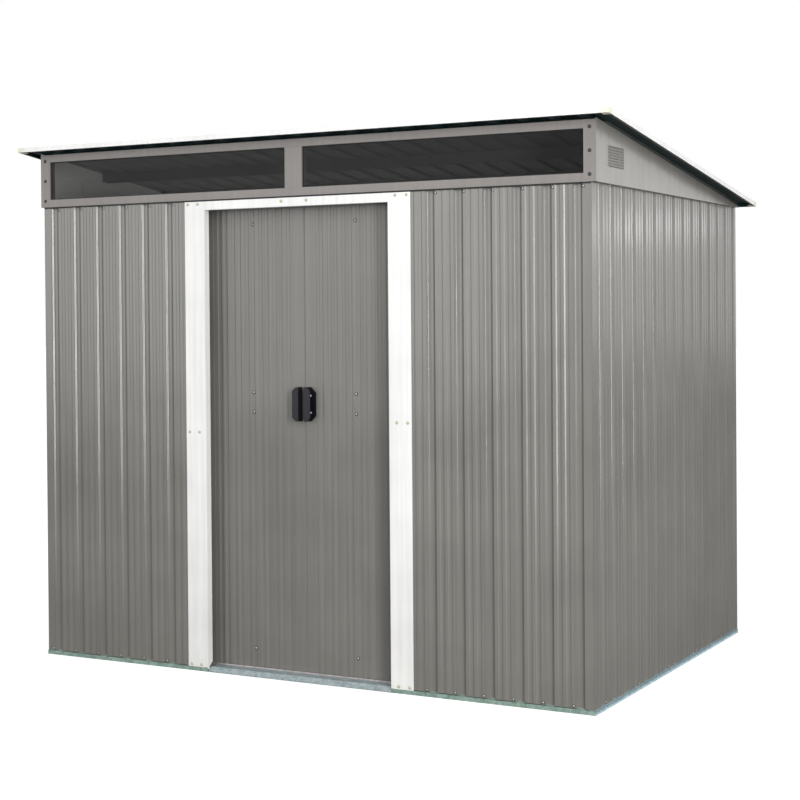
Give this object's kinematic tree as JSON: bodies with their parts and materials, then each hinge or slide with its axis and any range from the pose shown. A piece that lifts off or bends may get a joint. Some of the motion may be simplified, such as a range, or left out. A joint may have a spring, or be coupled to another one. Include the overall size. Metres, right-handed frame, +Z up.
{
  "type": "metal storage shed",
  "caption": "Pent-roof metal storage shed with ribbed walls, a strip of tinted windows over the door, gable vents and sliding double doors.",
  "frame": {"origin": "on the ground under the middle of the roof's plan", "axes": "+X to the right along the front, +Y to the back, +Z up"},
  "size_m": [2.607, 1.826, 2.1197],
  "materials": {
    "wall_steel": "satin grey paint on ribbed sheet",
    "door_steel": "satin grey paint",
    "transom_steel": "satin warm grey paint",
    "white_steel": "satin white paint",
    "galvanised_steel": "galvanised",
    "roof_steel": "satin paint, dark underneath",
    "window_acrylic": "smoked clear sheet",
    "cap_plastic": "moulded",
    "black_plastic": "moulded black",
    "nylon": "moulded white"
  },
  "bodies": {
    "shed": {"base_rail_front": "galvanised_steel", "base_rail_back": "galvanised_steel", "base_rail_left": "galvanised_steel", "base_rail_right": "galvanised_steel", "door_sill": "galvanised_steel", "door_bottom_track": "galvanised_steel", "door_top_track": "galvanised_steel", "front_top_rail": "galvanised_steel", "front_wall_left": "wall_steel", "front_wall_right": "wall_steel", "left_wall": "wall_steel", "right_wall": "wall_steel", "back_wall": "wall_steel", "corner_posts": "galvanised_steel", "wall_top_rails": "galvanised_steel", "wall_mid_rails": "galvanised_steel", "left_jamb": "white_steel", "right_jamb": "white_steel", "door_header": "white_steel", "transom_bottom_rail": "transom_steel", "transom_top_rail": "transom_steel", "transom_left_stile": "transom_steel", "transom_right_stile": "transom_steel", "transom_mullion": "transom_steel", "left_window": "window_acrylic", "right_window": "window_acrylic", "left_gable": "wall_steel", "right_gable": "wall_steel", "roof_sheet": "roof_steel", "roof_beams": "galvanised_steel", "front_fascia": "white_steel", "back_fascia": "white_steel", "left_fascia": "white_steel", "right_fascia": "white_steel", "roof_corner_caps": "cap_plastic"},
    "left_door": {"left_door_sheet": "door_steel", "left_door_stiles": "door_steel", "left_door_rails": "galvanised_steel", "left_door_glides": "nylon", "left_handle": "black_plastic"},
    "right_door": {"right_door_sheet": "door_steel", "right_door_stiles": "door_steel", "right_door_rails": "galvanised_steel", "right_door_glides": "nylon", "right_handle": "black_plastic"}
  },
  "joints": [
    {"name": "left_door_slide", "type": "slide", "parent": "shed", "child": "left_door", "axis": [-1, 0, 0], "range_m": [0, 0.35]},
    {"name": "right_door_slide", "type": "slide", "parent": "shed", "child": "right_door", "axis": [1, 0, 0], "range_m": [0, 0.35]}
  ]
}
